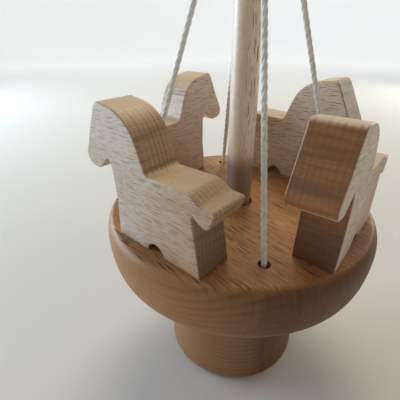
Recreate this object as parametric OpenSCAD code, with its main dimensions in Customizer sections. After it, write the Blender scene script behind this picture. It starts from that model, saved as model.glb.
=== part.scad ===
// Carousel music box in turned and sawn beech.
// A drum holds the musical movement. Its winding arbor carries a post, and a round platform with
// four horses hangs round the post on four cords from a small cap.
// Millimetres, +Z up, origin at the centre of the underside, horse 1 on the -Y side.

/* [Platform] */
// Largest radius of the platform, where its rim bulges most
platform_r = 54; // [53:0.5:56]
// Thickness of the platform
platform_h = 21.5; // [20:0.5:23]
// Height of the platform's top face above the table
platform_top_z = 78; // [77:0.5:80]
// Depth of the widest line of the rim below the top face
rim_drop = 7; // [5:0.5:9]
// How far the upper half of the rim curves in
rim_in_top = 3.2; // [2:0.1:3.2]
// How far the lower half of the rim curves in
rim_in_bottom = 3.7; // [2:0.1:6]
// Radius of the loose hole round the post
post_hole_r = 5.6; // [5.3:0.1:6.5]

/* [Horses] */
// Thickness of the board that the horses are sawn from
horse_t = 13.5; // [12:0.5:14]
// Distance of a horse's middle plane from the axis
horse_ring_r = 40.3; // [39.8:0.1:41]
// Radius of the half round notch between the feet
notch_r = 3.5; // [2.5:0.1:4]
// Turn of each horse from the true tangent, as set by hand
horse_turn = [1.5, 0.5, 2, -1]; // [-3:0.5:3]
// Slip of each horse along its tangent, as set by hand
horse_slip = [0, 0, -1, 1.5]; // [-2:0.5:2]
// Radius of the glued dowels under the feet
dowel_r = 2; // [1.5:0.25:2.5]

/* [Post and cap] */
// Radius of the post
post_r = 5; // [4.5:0.1:5.2]
// Height of the cap's top face above the platform's top face
cap_rise = 105; // [100:1:130]
// Radius of the cap
cap_r = 13; // [12:0.5:18]
// Thickness of the cap
cap_h = 7; // [6:0.5:9]
// Radius of the ball on top
ball_r = 6.4; // [5.8:0.1:6.4]

/* [Cords] */
// Diameter of the cords
cord_d = 2; // [1.5:0.1:2.4]
// Distance of the cord holes in the platform from the axis
cord_ring_r = 41.3; // [40:0.1:43]
// Radius of the cord holes in the platform
cord_hole_r = 2; // [1.5:0.1:2.2]
// Distance of the cord holes in the cap from the axis
cap_ring_r = 8.5; // [8:0.1:10]
// Radius of the knots
knot_r = 2.6; // [2.4:0.1:3]

/* [Drum] */
// Outer radius of the drum
drum_r = 30.5; // [30:0.5:33]
// Height of the drum's top face above the table
drum_top_z = 52; // [51:0.5:53]
// Radius of the chamber for the movement
chamber_r = 25.5; // [25:0.1:26]
// Thickness of the bottom plate
plate_h = 4; // [3:0.5:5]
// Thickness of the felt under the bottom plate
felt_h = 1.2; // [0.8:0.1:1.5]

/* [Movement] */
// Thickness of the frame's round plate under the drum's ceiling
frame_h = 2.5; // [2:0.1:2.8]
// Radius of the spring barrel
barrel_r = 10.5; // [9.5:0.1:10.5]
// Number of notes, which is the number of teeth on the comb
notes = 18; // [12:1:20]
// Radius of the pinned cylinder without its pins
cylinder_r = 5.6; // [5:0.1:5.6]
// Turns of the mainspring
spring_turns = 7; // [4:1:8]

/* [Gears] */
// Teeth on the crown gear that the arbor turns
crown_teeth = 30; // [30]
// Teeth on the pinion that the crown gear drives
crown_pinion_teeth = 20; // [20]
// Module of the crown gear pair
crown_module = 0.7; // [0.7]
// Teeth on the gear at the other end of the cylinder
cylinder_gear_teeth = 32; // [32]
// Teeth on the idler's pinion
idler_pinion_teeth = 10; // [10]
// Module of the spur gear pair
spur_module = 0.5; // [0.5]
// Teeth on the worm wheel
worm_wheel_teeth = 25; // [25]
// Module of the worm pair
worm_module = 0.4; // [0.4]

/* [Hidden] */
$fn = 96;

// How far a cutting shape runs past the faces that it cuts
past = 1;

beech = "#c9a27c";
beech_pale = "#d6b795";
brass = "#c9a24b";
steel = "#a9adb3";
zinc = "#9a9ea3";
felt = "#4d5a48";
cotton = "#e9e8e2";

// Heights of the stack
platform_bottom_z = platform_top_z - platform_h;
rim_z = platform_top_z - rim_drop;
cap_top_z = platform_top_z + cap_rise;
cap_bottom_z = cap_top_z - cap_h;
plate_top_z = felt_h + plate_h;
ceiling_z = 44;
frame_z = ceiling_z - frame_h;
round_steps = 14;

// Horses
horse_count = 4;
dowel_u = 11;
dowel_in_platform = 8;
dowel_in_horse = 10;
dowel_slack = 0.3;

// Knots and the holes that the cords pass
knot_h = 4.2;
cord_sides = 8;
cap_hole_r = 1.6;

// A cord's way, as distance from the axis and height: from the knot under the platform straight up its
// hole, in to the cap and up to the knot on it
CORD_ROUTE = [
    [cord_ring_r, platform_bottom_z], [cord_ring_r - 0.4, platform_top_z - 1],
    [cap_ring_r + 0.3, cap_bottom_z - 1],
    [cap_ring_r, cap_bottom_z + 1], [cap_ring_r, cap_top_z]
];

// Felt, screws and the sound hole
felt_r = 24;
felt_hole_r = 8;
plate_screw_ring = 28;
plate_screw_r = 1.1;
plate_screw_head_r = 2.1;
plate_screw_sink = 1.2;
plate_screw_end_z = 13;
frame_screw_ring = 20;
frame_screw_r = 1.5;
frame_screw_head_r = 2.8;
frame_screw_head_h = 2.2;
frame_screw_sink = 2.6;
screw_clearance = 0.2;
screw_count = 3;
sound_hole_r = 6;
slot_w = 0.6;
slot_d = 0.5;
seam = 0.3;

// Arbor and its bearings
running = 0.05;
press = 0.01;
arbor_clearance = 0.3;
arbor_r = 2;
arbor_low_z = 30.9;
clip_r = 3.4;
clip_h = 0.6;
arbor_high_z = 67;
hub_r = 3;
bush_r = 3.5;
washer_r = 7.5;
washer_h = 1;
post_foot_z = drum_top_z + washer_h + 0.1;
tenon_r = 2.5;
tenon_h = 8;

// Spring barrel
barrel_wall = 0.8;
barrel_low_z = 34;
barrel_flange_r = 11.8;
frame_r = 24;
spring_t = 0.35;
spring_low_z = 35.3;
spring_h = 5.4;

// Crown gear pair: the pinion runs under the crown gear, on the +X side
crown_r = crown_teeth * crown_module / 2;
crown_disc_z = 31.8;
crown_disc_h = 1.8;
crown_addendum = 0.55;
crown_dedendum = 0.75;
crown_face = 2;
crown_edge_r = crown_r + 1.1;
pinion_r = crown_pinion_teeth * crown_module / 2;
cylinder_z = crown_disc_z - crown_dedendum - pinion_r;

// Pinned cylinder, along X through the axis
pin_r = 0.2;
pin_h = 0.5;
cylinder_low_x = -8.6;
cylinder_high_x = 8.2;
shaft_r = 0.9;
left_bearing_x = -15.4;
right_bearing_x = 12.2;
bearing_t = 1.2;
bearing_half_w = 4;
bearing_foot = 3.5;
pins_per_note = 4;

// Spur pair and worm pair: the idler sits 40 degrees below the cylinder's axis, on the +Y side
idler_drop = 40;
idler_reach = (cylinder_gear_teeth + idler_pinion_teeth) * spur_module / 2;
idler_y = idler_reach * cos(idler_drop);
idler_z = cylinder_z - idler_reach * sin(idler_drop);
idler_r = 0.7;
worm_x = -10.6;
worm_pitch_r = 1.5;
worm_root_r = 1.1;
worm_ridge_x = 1.3;
worm_ridge_r = 0.6;
worm_lead = PI * worm_module;
worm_half = 2.5;
worm_y = idler_y + worm_wheel_teeth * worm_module / 2 + worm_pitch_r;
fly_shaft_r = 0.5;
fly_r = 4;
fly_low_z = 25;
fly_h = 10;
tooth_share = 0.44;
pressure_angle = 20;

// Teeth above and below their pitch circles, places along X and widths
crown_pinion_teeth_h = [0.6, 0.75];
spur_teeth_h = [0.4, 0.55];
worm_wheel_teeth_h = [0.3, 0.5];
crown_pinion_x = crown_r - 0.8;
crown_pinion_w = 1.6;
cylinder_gear_x = -13.2;
gear_w = 1.2;
idler_pinion_x = -13.3;
idler_pinion_w = 1.4;

// Comb
comb_z = cylinder_z - 0.5;
comb_h = 1;
comb_back_y = -19.5;
comb_root_y = -14.5;
comb_gap = 0.1;
comb_slot = 0.25;
comb_half_w = 8.6;
comb_slope = 0.25;
comb_seat_half_w = 9.5;
comb_window_half_w = 4.5;
comb_window_z = 6;
comb_screw_x = 6;
comb_screw_r = 0.9;
comb_screw_head_r = 1.7;
comb_screw_head_h = 1.1;
comb_screw_end = 6;

// Governor's bracket, which carries the idler's other end and the fly
governor_x = -4.8;
governor_end_y = 19.5;
governor_arms_z = [10.8, 37.3];
governor_screws_y = [14.6, 17.9];
governor_screw_x = -2.2;
governor_screw_r = 0.8;
governor_screw_head_r = 1.4;
governor_screw_head_h = 0.9;
governor_screw_end = 1.5;

// Horse outline: forward, up, corner radius. The origin is on the sole, midway between the feet.
HORSE_CORNERS = [
    [19, 0, 0.6], [17.7, 13.5, 8], [18, 24.5, 3], [19.4, 27.7, 0.25],
    [25.2, 23.1, 3.2], [33.4, 24.1, 3.4], [22.6, 45.4, 2.4], [12.5, 43.9, 13],
    [6.8, 40, 12], [4.2, 34, 20], [1.6, 26.9, 2], [-14.8, 27.3, 6],
    [-18.9, 24.9, 4], [-24.1, 24.6, 1], [-21.4, 17.2, 2.4], [-15.9, 21, 0.4],
    [-18.8, 0, 0.6]
];

// ---------- helpers ----------

function ellipse_arc(centre, rx, ry, from, to) =
    [for (i = [0:round_steps]) let (a = from + (to - from) * i / round_steps)
        [centre[0] + rx * cos(a), centre[1] + ry * sin(a)]];

function unit(v) = v / norm(v);

// The points that replace one corner of an outline by an arc of the corner's own radius
function corner_arc(before, corner, after) =
    let (p = [corner[0], corner[1]])
    let (to_before = unit([before[0], before[1]] - p), to_after = unit([after[0], after[1]] - p))
    let (half = acos(to_before * to_after) / 2, r = corner[2])
    let (centre = p + unit(to_before + to_after) * r / sin(half))
    let (start = p + to_before * r / tan(half) - centre, end = p + to_after * r / tan(half) - centre)
    let (a0 = atan2(start[1], start[0]), swing = atan2(end[1], end[0]) - a0)
    let (turn = swing > 180 ? swing - 360 : swing < -180 ? swing + 360 : swing)
    let (steps = max(2, ceil(abs(turn) / 15)))
    [for (i = [0:steps]) centre + r * [cos(a0 + turn * i / steps), sin(a0 + turn * i / steps)]];

function rounded(corners) =
    let (n = len(corners))
    [for (i = [0:n - 1]) each corner_arc(corners[(i + n - 1) % n], corners[i], corners[(i + 1) % n])];

// Involute spur gear outline; share is the tooth's part of the pitch
function inv_deg(a) = tan(a) * 180 / PI - a;
function flank(r, teeth, module_mm) =
    let (base_r = teeth * module_mm / 2 * cos(pressure_angle))
    tooth_share * 180 / teeth + inv_deg(pressure_angle) - inv_deg(acos(min(1, base_r / max(r, base_r))));
function gear_points(teeth, module_mm, heights) =
    let (pitch_r = teeth * module_mm / 2, low = pitch_r - heights[1], high = pitch_r + heights[0], steps = 4)
    [for (k = [0:teeth - 1]) for (side = [-1, 1]) for (i = [0:steps])
        let (r = low + (high - low) * (side < 0 ? i : steps - i) / steps)
        let (a = 360 * k / teeth + side * flank(r, teeth, module_mm))
        [r * cos(a), r * sin(a)]];

// A gear on an axis along X, with one tooth centred at angle phase in the YZ plane
module spur_gear(teeth, module_mm, heights, x, width, bore_r, phase) {
    translate([x, 0, 0])
        rotate([90, 0, 90])
            linear_extrude(height = width)
                difference() {
                    rotate(phase) polygon(gear_points(teeth, module_mm, heights));
                    circle(r = bore_r);
                }
}

module rod_x(x0, x1, r) {
    translate([x0, 0, 0]) rotate([0, 90, 0]) cylinder(r = r, h = x1 - x0);
}

module rod_z(z0, z1, r) {
    translate([0, 0, z0]) cylinder(r = r, h = z1 - z0);
}

module block(low, high) {
    translate(low) cube(high - low);
}

module around(count, ring_r, start = 0) {
    for (i = [0:count - 1])
        rotate([0, 0, start + 360 * i / count]) translate([ring_r, 0, 0]) children();
}

// Places a horse, or what belongs to it: local X runs forward, local Y outward
module at_horse(i) {
    a = 270 - 90 * i;
    translate([horse_ring_r * cos(a), horse_ring_r * sin(a), platform_top_z])
        rotate([0, 0, a - 90])
            translate([horse_slip[i], 0, 0])
                rotate([0, 0, -horse_turn[i]])
                    children();
}

// A tube with eight sides along a route that stays in the local XZ plane
module cord_tube(route) {
    last = len(route) - 1;
    rings = [for (i = [0:last]) for (j = [0:cord_sides - 1])
        let (t = unit(route[min(i + 1, last)] - route[max(i - 1, 0)]), a = 360 * j / cord_sides)
        let (out = cord_d / 2 * cos(a), side = cord_d / 2 * sin(a))
        [route[i][0] - t[1] * out, side, route[i][1] + t[0] * out]];
    sides = [for (i = [0:last - 1]) for (j = [0:cord_sides - 1])
        let (k = (j + 1) % cord_sides, a = i * cord_sides)
        [a + j, a + k, a + cord_sides + k, a + cord_sides + j]];
    ends = [[for (j = [0:cord_sides - 1]) cord_sides - 1 - j],
            [for (j = [0:cord_sides - 1]) last * cord_sides + j]];
    polyhedron(points = rings, faces = concat(sides, ends));
}

// Four stations between the horses
module at_cord(i) {
    rotate([0, 0, -45 - 90 * i]) children();
}

// ---------- base ----------

module plate_screw_holes(r, z0, z1) {
    around(screw_count, plate_screw_ring, 30) rod_z(z0, z1, r);
}

module base_drum() {
    edge = 2;
    color(beech)
        difference() {
            rotate_extrude()
                polygon(concat(
                    [[bush_r + press, ceiling_z], [chamber_r, ceiling_z], [chamber_r, plate_top_z],
                     [drum_r - seam, plate_top_z], [drum_r, plate_top_z + seam]],
                    ellipse_arc([drum_r - edge, drum_top_z - edge], edge, edge, 0, 90),
                    [[bush_r + press, drum_top_z]]));
            around(screw_count, frame_screw_ring, 60) {
                rod_z(ceiling_z - past, drum_top_z + past, frame_screw_r + screw_clearance);
                rod_z(drum_top_z - frame_screw_sink, drum_top_z + past, frame_screw_head_r + screw_clearance);
            }
            plate_screw_holes(plate_screw_r, plate_top_z - past, plate_screw_end_z);
        }
}

module bottom_plate() {
    edge = 0.8;
    color(beech)
        difference() {
            rotate_extrude()
                polygon([[sound_hole_r, felt_h], [drum_r - edge, felt_h], [drum_r, felt_h + edge],
                         [drum_r, plate_top_z - seam], [drum_r - seam, plate_top_z],
                         [sound_hole_r, plate_top_z]]);
            plate_screw_holes(plate_screw_r, felt_h - past, plate_top_z + past);
            around(screw_count, plate_screw_ring, 30)
                translate([0, 0, felt_h - press])
                    cylinder(r1 = plate_screw_head_r, r2 = plate_screw_r, h = plate_screw_sink);
        }
}

module bottom_screws() {
    head_z = felt_h + 0.1;
    head_h = plate_screw_sink - 0.15;
    color(brass)
        around(screw_count, plate_screw_ring, 30)
            difference() {
                union() {
                    translate([0, 0, head_z])
                        cylinder(r1 = plate_screw_head_r - 0.1, r2 = plate_screw_r, h = head_h);
                    rod_z(head_z + head_h - 0.15, plate_screw_end_z - 1, plate_screw_r);
                }
                screw_slot(plate_screw_head_r, head_z);
            }
}

module felt_pad() {
    color(felt)
        difference() {
            rod_z(0, felt_h, felt_r);
            rod_z(-past, felt_h + past, felt_hole_r);
        }
}

module arbor_bush() {
    color(brass)
        difference() {
            rod_z(ceiling_z, drum_top_z, bush_r);
            rod_z(ceiling_z - past, drum_top_z + past, arbor_r + running);
        }
}

module thrust_washer() {
    color(steel)
        difference() {
            rod_z(drum_top_z, drum_top_z + washer_h, washer_r);
            rod_z(drum_top_z - past, drum_top_z + washer_h + past, arbor_r + arbor_clearance);
        }
}

// ---------- movement, fixed parts ----------

module movement_frame() {
    color(zinc)
        difference() {
            union() {
                rod_z(frame_z, ceiling_z, frame_r);
                // bearing of the crown pinion's end
                block([right_bearing_x, -bearing_half_w, cylinder_z - bearing_foot],
                      [right_bearing_x + bearing_t, bearing_half_w, frame_z]);
                // bearing of the gears' end, for the cylinder and the idler
                block([left_bearing_x, -bearing_half_w, idler_z - bearing_foot],
                      [left_bearing_x + bearing_t, idler_y + bearing_half_w, frame_z]);
                // seat of the comb, with a window
                difference() {
                    block([-comb_seat_half_w, comb_back_y, comb_z + comb_h],
                          [comb_seat_half_w, comb_root_y, frame_z]);
                    block([-comb_window_half_w, comb_back_y - past, comb_z + comb_window_z],
                          [comb_window_half_w, comb_root_y + past, frame_z - 1]);
                }
            }
            rod_z(frame_z - past, ceiling_z + past, arbor_r + arbor_clearance);
            around(screw_count, frame_screw_ring, 60) rod_z(frame_z - past, ceiling_z + past, frame_screw_r);
            translate([0, 0, cylinder_z])
                rod_x(left_bearing_x - past, right_bearing_x + bearing_t + past, shaft_r + running);
            at_idler() rod_x(left_bearing_x - past, left_bearing_x + bearing_t + past, idler_r + running);
            comb_screw_places() rod_z(comb_z, comb_z + comb_screw_end, comb_screw_r);
            governor_screw_places() rod_z(frame_z - past, frame_z + governor_screw_end, governor_screw_r);
        }
}

// The slot across a screw's head, cut into the face at height z
module screw_slot(head_r, z) {
    translate([0, 0, z]) cube([slot_w, 2 * (head_r + past), 2 * slot_d], center = true);
}

module movement_screws() {
    head_z = drum_top_z - frame_screw_sink;
    head_top_z = head_z + frame_screw_head_h;
    color(steel)
        around(screw_count, frame_screw_ring, 60)
            difference() {
                union() {
                    rod_z(frame_z + 0.5, head_z, frame_screw_r);
                    rod_z(head_z, head_top_z, frame_screw_head_r);
                }
                screw_slot(frame_screw_head_r, head_top_z);
            }
}

module spring_barrel() {
    color(brass)
        difference() {
            union() {
                rod_z(barrel_low_z, frame_z, barrel_r);
                rod_z(frame_z - barrel_wall, frame_z, barrel_flange_r);
            }
            rod_z(barrel_low_z + barrel_wall, frame_z + past, barrel_r - barrel_wall);
            rod_z(barrel_low_z - past, frame_z, arbor_r + running);
        }
}

module mainspring() {
    inner = hub_r + 0.2;
    outer = barrel_r - barrel_wall - 0.1;
    turn_steps = 20;
    steps = turn_steps * spring_turns;
    pitch = outer - spring_t - inner;
    edge = [for (i = [0:steps]) [inner + pitch * i / steps, 360 * spring_turns * i / steps]];
    color(steel)
        translate([0, 0, spring_low_z])
            linear_extrude(height = spring_h)
                polygon(concat(
                    [for (p = edge) p[0] * [cos(p[1]), sin(p[1])]],
                    [for (i = [steps:-1:0]) (edge[i][0] + spring_t) * [cos(edge[i][1]), sin(edge[i][1])]]));
}

module comb_screw_places() {
    for (x = [-comb_screw_x, comb_screw_x])
        translate([x, (comb_back_y + comb_root_y) / 2, 0]) children();
}

module comb() {
    tip_y = -(cylinder_r + pin_h + comb_gap);
    note_w = 2 * comb_half_w / notes;
    color(steel)
        difference() {
            block([-comb_half_w, comb_back_y, comb_z], [comb_half_w, tip_y, comb_z + comb_h]);
            for (i = [1:notes - 1])
                translate([i * note_w - comb_half_w, comb_root_y + comb_slope * i, comb_z - past])
                    translate([-comb_slot / 2, 0, 0])
                        cube([comb_slot, -comb_root_y, comb_h + 2 * past]);
            comb_screw_places() rod_z(comb_z - past, comb_z + comb_h + past, comb_screw_r);
        }
}

module comb_screws() {
    color(steel)
        comb_screw_places()
            difference() {
                union() {
                    rod_z(comb_z - comb_screw_head_h, comb_z, comb_screw_head_r);
                    rod_z(comb_z, comb_z + comb_screw_end - 0.5, comb_screw_r);
                }
                screw_slot(comb_screw_head_r, comb_z - comb_screw_head_h);
            }
}

module governor_screw_places() {
    for (y = governor_screws_y)
        translate([governor_screw_x, y, 0]) children();
}

module governor_bracket() {
    face_x = governor_x - bearing_t;
    low_z = governor_arms_z[0];
    step_z = cylinder_z - 3.6;
    foot_y = 12.9;
    foot_x = 0.6;
    arm_half_w = 2;
    color(zinc)
        difference() {
            union() {
                block([face_x, idler_y - 2.1, low_z], [governor_x, governor_end_y, step_z]);
                block([face_x, foot_y - 0.9, step_z], [governor_x, governor_end_y, frame_z]);
                // foot under the frame's plate
                block([governor_x, foot_y, frame_z - bearing_t], [foot_x, governor_end_y, frame_z]);
                // arms with the fly's pivots
                for (z = governor_arms_z)
                    block([worm_x - arm_half_w, worm_y - arm_half_w, z],
                          [governor_x, worm_y + arm_half_w, z + bearing_t]);
            }
            at_idler() rod_x(face_x - past, governor_x + past, idler_r + running);
            at_fly() rod_z(low_z - past, governor_arms_z[1] + bearing_t + past, fly_shaft_r + running);
            governor_screw_places() rod_z(frame_z - bearing_t - past, frame_z + past, governor_screw_r);
        }
}

module governor_screws() {
    under = frame_z - bearing_t;
    color(steel)
        governor_screw_places()
            difference() {
                union() {
                    rod_z(under - governor_screw_head_h, under, governor_screw_head_r);
                    rod_z(under, frame_z + governor_screw_end, governor_screw_r);
                }
                screw_slot(governor_screw_head_r, under - governor_screw_head_h);
            }
}

// ---------- carousel ----------

module winding_arbor() {
    color(steel)
        union() {
            rod_z(arbor_low_z, arbor_high_z, arbor_r);
            rod_z(spring_low_z, spring_low_z + spring_h, hub_r);
        }
}

module arbor_clip() {
    color(steel)
        difference() {
            rod_z(crown_disc_z - clip_h, crown_disc_z, clip_r);
            rod_z(crown_disc_z - clip_h - past, crown_disc_z + past, arbor_r + press);
        }
}

module crown_tooth() {
    half = 0.17 * PI * crown_module;
    flare = tan(pressure_angle);
    root = crown_dedendum + 0.1;
    translate([crown_r - crown_face / 2, 0, crown_disc_z - crown_dedendum])
        rotate([90, 0, 90])
            linear_extrude(height = crown_face)
                polygon([[-half - root * flare, root], [-half + crown_addendum * flare, -crown_addendum],
                         [half - crown_addendum * flare, -crown_addendum], [half + root * flare, root]]);
}

module drive_gear() {
    color(brass)
        difference() {
            union() {
                rod_z(crown_disc_z, crown_disc_z + crown_disc_h, crown_edge_r);
                around(crown_teeth, 0, 180 / crown_teeth) crown_tooth();
            }
            rod_z(crown_disc_z - past, crown_disc_z + crown_disc_h + past, arbor_r + press);
        }
}

module post() {
    chamfer = 0.5;
    slack = 1;
    color(beech_pale)
        rotate_extrude()
            polygon([[arbor_r + press, post_foot_z], [post_r - chamfer, post_foot_z],
                     [post_r, post_foot_z + chamfer], [post_r, cap_top_z], [tenon_r + press, cap_top_z],
                     [tenon_r + press, cap_top_z - tenon_h - slack], [0, cap_top_z - tenon_h - slack],
                     [0, arbor_high_z + slack], [arbor_r + press, arbor_high_z + slack]]);
}

module platform() {
    top_r = platform_r - rim_in_top;
    bottom_r = platform_r - rim_in_bottom;
    color(beech)
        difference() {
            rotate_extrude()
                polygon(concat(
                    [[post_hole_r, platform_bottom_z]],
                    ellipse_arc([bottom_r, rim_z], rim_in_bottom, rim_z - platform_bottom_z, -90, 0),
                    ellipse_arc([top_r, rim_z], rim_in_top, rim_drop, 0, 90),
                    [[post_hole_r, platform_top_z]]));
            for (i = [0:horse_count - 1])
                at_cord(i) translate([cord_ring_r, 0, 0])
                    rod_z(platform_bottom_z - past, platform_top_z + past, cord_hole_r);
            for (i = [0:horse_count - 1])
                at_horse(i) dowel_places() rod_z(-dowel_in_platform - dowel_slack, past, dowel_r + press);
        }
}

module dowel_places() {
    for (u = [-dowel_u, dowel_u])
        translate([u, 0, 0]) children();
}

module horse_dowels() {
    color(beech_pale)
        for (i = [0:horse_count - 1])
            at_horse(i) dowel_places() rod_z(-dowel_in_platform, dowel_in_horse, dowel_r);
}

module horse(i) {
    color(beech)
        at_horse(i)
            difference() {
                translate([0, horse_t / 2, 0])
                    rotate([90, 0, 0])
                        linear_extrude(height = horse_t)
                            difference() {
                                polygon(rounded(HORSE_CORNERS));
                                circle(r = notch_r);
                            }
                dowel_places() rod_z(-past, dowel_in_horse + dowel_slack, dowel_r + press);
            }
}

module horse_1() { horse(0); }
module horse_2() { horse(1); }
module horse_3() { horse(2); }
module horse_4() { horse(3); }

module cord(i) {
    color(cotton) at_cord(i) cord_tube(CORD_ROUTE);
}

module cord_1() { cord(0); }
module cord_2() { cord(1); }
module cord_3() { cord(2); }
module cord_4() { cord(3); }

module knot() {
    edge = 1.3;
    rotate_extrude()
        polygon(concat(
            [[0, 0]],
            ellipse_arc([knot_r - edge, edge], edge, edge, -90, 0),
            ellipse_arc([knot_r - edge, knot_h - edge], edge, edge, 0, 90),
            [[0, knot_h]]));
}

module platform_knots() {
    color(cotton)
        for (i = [0:horse_count - 1])
            at_cord(i) translate([cord_ring_r, 0, platform_bottom_z - knot_h]) knot();
}

module cap_knots() {
    color(cotton)
        for (i = [0:horse_count - 1])
            at_cord(i) translate([cap_ring_r, 0, cap_top_z]) knot();
}

module top_cap() {
    edge = 2.2;
    color(beech)
        difference() {
            rotate_extrude()
                polygon(concat(
                    [[post_r + press, cap_bottom_z]],
                    ellipse_arc([cap_r - edge, cap_bottom_z + cap_h / 2], edge, cap_h / 2, -90, 90),
                    [[post_r + press, cap_top_z]]));
            for (i = [0:horse_count - 1])
                at_cord(i)
                    translate([cap_ring_r, 0, 0])
                        rod_z(cap_bottom_z - past, cap_top_z + past, cap_hole_r);
        }
}

module finial() {
    seat = 3.2;
    ball_z = cap_top_z + sqrt(ball_r * ball_r - seat * seat);
    from = -acos(seat / ball_r);
    steps = 3 * round_steps;
    color(beech)
        rotate_extrude()
            polygon(concat(
                [[0, cap_top_z - tenon_h], [tenon_r, cap_top_z - tenon_h], [tenon_r, cap_top_z]],
                [for (i = [0:steps]) let (a = from + (90 - from) * i / steps)
                    [i == steps ? 0 : ball_r * cos(a), ball_z + ball_r * sin(a)]]));
}

// ---------- cylinder ----------

module music_cylinder() {
    note_w = 2 * comb_half_w / notes;
    color(brass)
        translate([0, 0, cylinder_z])
            difference() {
                union() {
                    rod_x(cylinder_low_x, cylinder_high_x, cylinder_r);
                    for (i = [0:notes - 1]) for (j = [0:pins_per_note - 1])
                        if (abs(-comb_half_w + (i + 0.5) * note_w) < cylinder_high_x - pin_r)
                            translate([-comb_half_w + (i + 0.5) * note_w, 0, 0])
                                rotate([137.5 * i + 360 * j / pins_per_note + 23 * (i % 3) * j, 0, 0])
                                    rod_z(cylinder_r - 1, cylinder_r + pin_h, pin_r, $fn = 16);
                }
                rod_x(cylinder_low_x - past, cylinder_high_x + past, shaft_r + press);
            }
}

module cylinder_shaft() {
    color(steel)
        translate([0, 0, cylinder_z])
            rod_x(left_bearing_x, right_bearing_x + bearing_t, shaft_r);
}

module cylinder_pinion() {
    color(brass)
        translate([0, 0, cylinder_z])
            spur_gear(crown_pinion_teeth, crown_module, crown_pinion_teeth_h, crown_pinion_x, crown_pinion_w,
                      shaft_r + press, 90);
}

module cylinder_gear() {
    color(brass)
        translate([0, 0, cylinder_z])
            spur_gear(cylinder_gear_teeth, spur_module, spur_teeth_h, cylinder_gear_x, gear_w,
                      shaft_r + press, -idler_drop);
}

// ---------- idler ----------

module at_idler() {
    translate([0, idler_y, idler_z]) children();
}

module idler_arbor() {
    color(steel) at_idler() rod_x(left_bearing_x, governor_x, idler_r);
}

module idler_pinion() {
    phase = 180 - idler_drop + 180 / idler_pinion_teeth;
    color(steel)
        at_idler()
            spur_gear(idler_pinion_teeth, spur_module, spur_teeth_h, idler_pinion_x, idler_pinion_w,
                      idler_r + press, phase);
}

module worm_wheel() {
    phase = 180 / worm_wheel_teeth;
    color(brass)
        at_idler()
            spur_gear(worm_wheel_teeth, worm_module, worm_wheel_teeth_h, worm_x - gear_w / 2, gear_w,
                      idler_r + press, phase);
}

// ---------- air brake ----------

module at_fly() {
    translate([worm_x, worm_y, 0]) children();
}

module fly_shaft() {
    color(steel) at_fly() rod_z(governor_arms_z[0] + 0.2, governor_arms_z[1] + 1, fly_shaft_r);
}

// Right-hand thread whose ridge meets the worm wheel's gap at the wheel's own height
module governor_worm() {
    turn = 360 * worm_half / worm_lead;
    color(steel)
        at_fly()
            translate([0, 0, idler_z - worm_half])
                difference() {
                    rotate([0, 0, -90 - turn])
                        linear_extrude(height = 2 * worm_half, twist = -2 * turn, slices = 48, $fn = 16)
                            union() {
                                circle(r = worm_root_r, $fn = 12);
                                translate([worm_ridge_x, 0]) circle(r = worm_ridge_r, $fn = 8);
                            }
                    rod_z(-past, 2 * worm_half + past, fly_shaft_r + press);
                }
}

module fly_vane() {
    hub_r = 1.1;
    half_t = 0.3;
    color(brass)
        at_fly()
            difference() {
                union() {
                    rod_z(fly_low_z, fly_low_z + fly_h, hub_r);
                    block([-fly_r, -half_t, fly_low_z + 1], [fly_r, half_t, fly_low_z + fly_h - 1]);
                }
                rod_z(fly_low_z - past, fly_low_z + fly_h + past, fly_shaft_r + press);
            }
}

base_drum();
bottom_plate();
bottom_screws();
felt_pad();
arbor_bush();
thrust_washer();
movement_frame();
movement_screws();
spring_barrel();
mainspring();
comb();
comb_screws();
governor_bracket();
governor_screws();
winding_arbor();
arbor_clip();
drive_gear();
post();
platform();
horse_dowels();
horse_1();
horse_2();
horse_3();
horse_4();
cord_1();
cord_2();
cord_3();
cord_4();
platform_knots();
cap_knots();
top_cap();
finial();
music_cylinder();
cylinder_shaft();
cylinder_pinion();
cylinder_gear();
idler_arbor();
idler_pinion();
worm_wheel();
fly_shaft();
governor_worm();
fly_vane();
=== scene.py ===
import math
import random

import bmesh
import bpy
from mathutils import Matrix, Vector


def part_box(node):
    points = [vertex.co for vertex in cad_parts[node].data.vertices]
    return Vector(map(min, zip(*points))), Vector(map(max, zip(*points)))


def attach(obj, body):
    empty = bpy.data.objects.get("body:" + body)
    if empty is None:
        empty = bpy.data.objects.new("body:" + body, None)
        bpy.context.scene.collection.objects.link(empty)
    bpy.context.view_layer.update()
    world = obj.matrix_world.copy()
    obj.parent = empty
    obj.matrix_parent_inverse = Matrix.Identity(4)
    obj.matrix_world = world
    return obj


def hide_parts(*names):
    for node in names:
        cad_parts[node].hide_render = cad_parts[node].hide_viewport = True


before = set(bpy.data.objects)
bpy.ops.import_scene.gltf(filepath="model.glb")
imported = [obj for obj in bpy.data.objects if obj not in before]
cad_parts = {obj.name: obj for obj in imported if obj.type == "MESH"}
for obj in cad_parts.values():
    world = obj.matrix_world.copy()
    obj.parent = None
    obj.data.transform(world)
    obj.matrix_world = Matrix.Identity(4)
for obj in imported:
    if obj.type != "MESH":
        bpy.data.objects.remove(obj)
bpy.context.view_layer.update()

random.seed(7)
MM = 0.001


# ---------- sizes, in millimetres, from the frame ----------

def box_mm(node):
    low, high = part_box(node)
    return low / MM, high / MM


platform_low, platform_high = box_mm("platform")
post_low, post_high = box_mm("post")
cap_low, cap_high = box_mm("top_cap")
felt_low, felt_high = box_mm("felt_pad")
finial_low, finial_high = box_mm("finial")

PLATFORM_R = platform_high.x
PLATFORM_TOP = platform_high.z
PLATFORM_BOTTOM = platform_low.z
CAP_TOP = cap_high.z
CAP_BOTTOM = cap_low.z

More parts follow.
